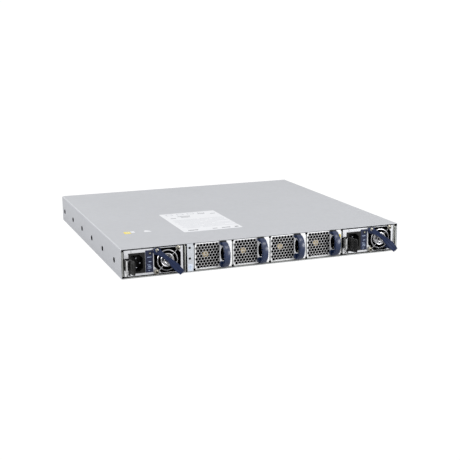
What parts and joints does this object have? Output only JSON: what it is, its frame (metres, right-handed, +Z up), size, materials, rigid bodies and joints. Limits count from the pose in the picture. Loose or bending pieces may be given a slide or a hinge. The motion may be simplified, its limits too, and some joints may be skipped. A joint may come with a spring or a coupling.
{
  "type": "rackmount network switch",
  "caption": "One-unit rackmount network switch with hot-swap power supplies and fan modules that slide out of the rear, port cages at the front.",
  "frame": {"origin": "centre of the underside of the chassis", "axes": "+X to the right as seen from the power and fan side, +Y towards the port side, +Z up"},
  "size_m": [0.44, 0.4673, 0.0437],
  "materials": {
    "cover_paint": "smooth light blue-grey zinc-coated steel, satin",
    "sheet_steel": "plain zinc-coated sheet, satin",
    "bright_steel": "bright nickel-plated sheet",
    "black_plastic": "black moulded plastic",
    "navy_plastic": "navy moulded plastic, semi-gloss",
    "chrome_wire": "chromed steel wire",
    "circuit_board": "green solder mask",
    "heat_sink": "extruded aluminium",
    "fan_plastic": "black moulded fan plastic",
    "port_nickel": "nickel-plated stamped metal"
  },
  "bodies": {
    "chassis": {"top_cover": "cover_paint", "base_tray": "sheet_steel", "rear_frame": "bright_steel", "psu_bay_wall_left": "sheet_steel", "psu_bay_wall_right": "sheet_steel", "front_panel": "sheet_steel", "main_board": "circuit_board", "sfp_cage_left": "port_nickel", "sfp_cage_right": "port_nickel", "qsfp_cage": "port_nickel", "network_jack": "port_nickel", "usb_port": "port_nickel", "switch_chip": "black_plastic", "switch_heatsink": "heat_sink", "cpu_heatsink": "heat_sink", "memory_module": "circuit_board", "fan_board": "circuit_board", "psu_socket_left": "black_plastic", "psu_socket_right": "black_plastic"},
    "psu_left": {"psu_left_case": "sheet_steel", "psu_left_faceplate": "bright_steel", "psu_left_inlet": "black_plastic", "psu_left_inlet_pins": "port_nickel", "psu_left_fan_frame": "fan_plastic", "psu_left_fan_guard": "chrome_wire", "psu_left_handle": "navy_plastic", "psu_left_board": "circuit_board"},
    "psu_left_spinner": {"psu_left_fan_rotor": "fan_plastic"},
    "psu_left_release": {"psu_left_latch": "black_plastic"},
    "psu_right": {"psu_right_case": "sheet_steel", "psu_right_faceplate": "bright_steel", "psu_right_inlet": "black_plastic", "psu_right_inlet_pins": "port_nickel", "psu_right_fan_frame": "fan_plastic", "psu_right_fan_guard": "chrome_wire", "psu_right_handle": "navy_plastic", "psu_right_board": "circuit_board"},
    "psu_right_spinner": {"psu_right_fan_rotor": "fan_plastic"},
    "psu_right_release": {"psu_right_latch": "black_plastic"},
    "fan_1": {"fan_1_carrier": "bright_steel", "fan_1_frame": "fan_plastic", "fan_1_handle": "navy_plastic"},
    "fan_1_spinner": {"fan_1_rotor": "fan_plastic"},
    "fan_1_release": {"fan_1_latch": "sheet_steel"},
    "fan_2": {"fan_2_carrier": "bright_steel", "fan_2_frame": "fan_plastic", "fan_2_handle": "navy_plastic"},
    "fan_2_spinner": {"fan_2_rotor": "fan_plastic"},
    "fan_2_release": {"fan_2_latch": "sheet_steel"},
    "fan_3": {"fan_3_carrier": "bright_steel", "fan_3_frame": "fan_plastic", "fan_3_handle": "navy_plastic"},
    "fan_3_spinner": {"fan_3_rotor": "fan_plastic"},
    "fan_3_release": {"fan_3_latch": "sheet_steel"},
    "fan_4": {"fan_4_carrier": "bright_steel", "fan_4_frame": "fan_plastic", "fan_4_handle": "navy_plastic"},
    "fan_4_spinner": {"fan_4_rotor": "fan_plastic"},
    "fan_4_release": {"fan_4_latch": "sheet_steel"}
  },
  "joints": [
    {"name": "psu_left_slide", "type": "slide", "parent": "chassis", "child": "psu_left", "axis": [0, -1, 0], "range_m": [0, 0.225]},
    {"name": "psu_left_fan_spin", "type": "hinge", "parent": "psu_left", "child": "psu_left_spinner", "pos_m": [-0.1516, -0.2052, 0.0216], "axis": [0, 1, 0], "continuous": true},
    {"name": "psu_left_latch_press", "type": "hinge", "parent": "psu_left", "child": "psu_left_release", "pos_m": [-0.2092, -0.2102, 0.0175], "axis": [0, 0, 1], "range_deg": [0, 5]},
    {"name": "psu_right_slide", "type": "slide", "parent": "chassis", "child": "psu_right", "axis": [0, -1, 0], "range_m": [0, 0.225]},
    {"name": "psu_right_fan_spin", "type": "hinge", "parent": "psu_right", "child": "psu_right_spinner", "pos_m": [0.19, -0.2052, 0.0216], "axis": [0, 1, 0], "continuous": true},
    {"name": "psu_right_latch_press", "type": "hinge", "parent": "psu_right", "child": "psu_right_release", "pos_m": [0.1324, -0.2102, 0.0175], "axis": [0, 0, 1], "range_deg": [0, 5]},
    {"name": "fan_1_slide", "type": "slide", "parent": "chassis", "child": "fan_1", "axis": [0, -1, 0], "range_m": [0, 0.09]},
    {"name": "fan_1_spin", "type": "hinge", "parent": "fan_1", "child": "fan_1_spinner", "pos_m": [-0.0912, -0.204, 0.0223], "axis": [0, 1, 0], "continuous": true},
    {"name": "fan_1_latch_press", "type": "hinge", "parent": "fan_1", "child": "fan_1_release", "pos_m": [-0.0696, -0.2075, 0.023], "axis": [0, 0, 1], "range_deg": [0, 8]},
    {"name": "fan_2_slide", "type": "slide", "parent": "chassis", "child": "fan_2", "axis": [0, -1, 0], "range_m": [0, 0.09]},
    {"name": "fan_2_spin", "type": "hinge", "parent": "fan_2", "child": "fan_2_spinner", "pos_m": [-0.0322, -0.204, 0.0223], "axis": [0, 1, 0], "continuous": true},
    {"name": "fan_2_latch_press", "type": "hinge", "parent": "fan_2", "child": "fan_2_release", "pos_m": [-0.0106, -0.2075, 0.023], "axis": [0, 0, 1], "range_deg": [0, 8]},
    {"name": "fan_3_slide", "type": "slide", "parent": "chassis", "child": "fan_3", "axis": [0, -1, 0], "range_m": [0, 0.09]},
    {"name": "fan_3_spin", "type": "hinge", "parent": "fan_3", "child": "fan_3_spinner", "pos_m": [0.0268, -0.204, 0.0223], "axis": [0, 1, 0], "continuous": true},
    {"name": "fan_3_latch_press", "type": "hinge", "parent": "fan_3", "child": "fan_3_release", "pos_m": [0.0484, -0.2075, 0.023], "axis": [0, 0, 1], "range_deg": [0, 8]},
    {"name": "fan_4_slide", "type": "slide", "parent": "chassis", "child": "fan_4", "axis": [0, -1, 0], "range_m": [0, 0.09]},
    {"name": "fan_4_spin", "type": "hinge", "parent": "fan_4", "child": "fan_4_spinner", "pos_m": [0.0858, -0.204, 0.0223], "axis": [0, 1, 0], "continuous": true},
    {"name": "fan_4_latch_press", "type": "hinge", "parent": "fan_4", "child": "fan_4_release", "pos_m": [0.1074, -0.2075, 0.023], "axis": [0, 0, 1], "range_deg": [0, 8]}
  ]
}
